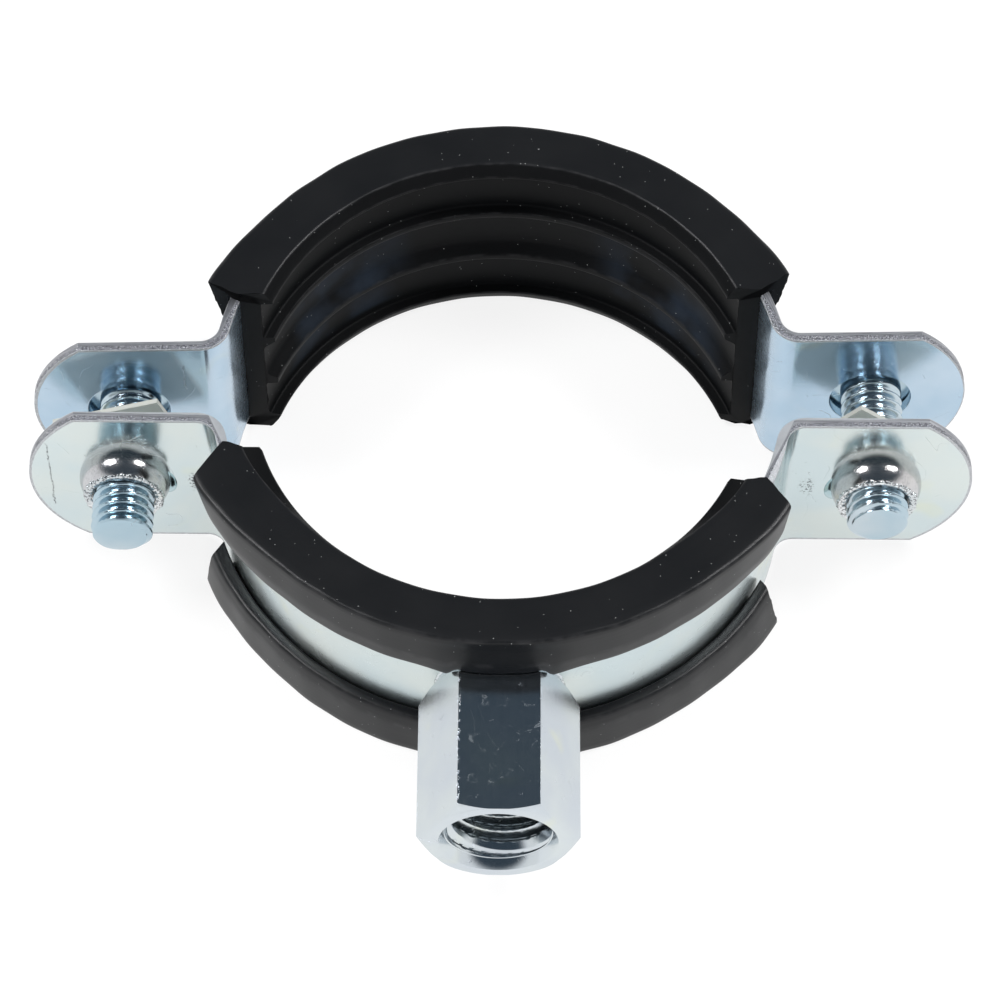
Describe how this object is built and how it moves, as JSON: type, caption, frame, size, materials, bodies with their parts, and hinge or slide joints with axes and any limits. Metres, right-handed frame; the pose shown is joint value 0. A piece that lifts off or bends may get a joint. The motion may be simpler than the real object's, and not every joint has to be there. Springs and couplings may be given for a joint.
{
  "type": "rubber lined pipe clamp",
  "caption": "Two-piece zinc plated steel pipe clamp with a ribbed rubber lining, clamping screws through paired ears and a welded hexagon coupling nut.",
  "frame": {"origin": "centre of the front half's pipe seat, at mid width", "axes": "+Z along the pipe, -Y out of the coupling nut's mouth, X through the two clamping screws' ears"},
  "size_m": [0.0911, 0.074, 0.0224],
  "materials": {
    "zinc_strip": "bright zinc plated pressed strip",
    "zinc_nut": "bright zinc plated cold drawn hexagon",
    "zinc_screw": "bright zinc plated machine screw",
    "grey_washer": "matt grey stamped sheet",
    "black_rubber": "matt extruded elastomer"
  },
  "bodies": {
    "front_half": {"front_band": "zinc_strip", "front_liner": "black_rubber", "coupling_nut": "zinc_nut"},
    "rear_half": {"rear_band": "zinc_strip", "rear_liner": "black_rubber"},
    "left_fastener": {"left_screw": "zinc_screw", "left_retaining_washer": "grey_washer"},
    "right_fastener": {"right_screw": "zinc_screw", "right_retaining_washer": "grey_washer"}
  },
  "joints": [
    {"name": "closing", "type": "slide", "parent": "front_half", "child": "rear_half", "axis": [0, -1, 0], "range_m": [-0.004, 0.0028]},
    {"name": "left_screw_turn", "type": "hinge", "parent": "rear_half", "child": "left_fastener", "pos_m": [-0.03625, 0, 0], "axis": [0, -1, 0], "range_deg": [-1440, 1008]},
    {"name": "right_screw_turn", "type": "hinge", "parent": "rear_half", "child": "right_fastener", "pos_m": [0.03625, 0, 0], "axis": [0, -1, 0], "range_deg": [-1440, 1008]}
  ],
  "couplings": [
    {"joint": "left_screw_turn", "follows": "closing", "rad_per_m": 6283.2},
    {"joint": "right_screw_turn", "follows": "closing", "rad_per_m": 6283.2}
  ]
}
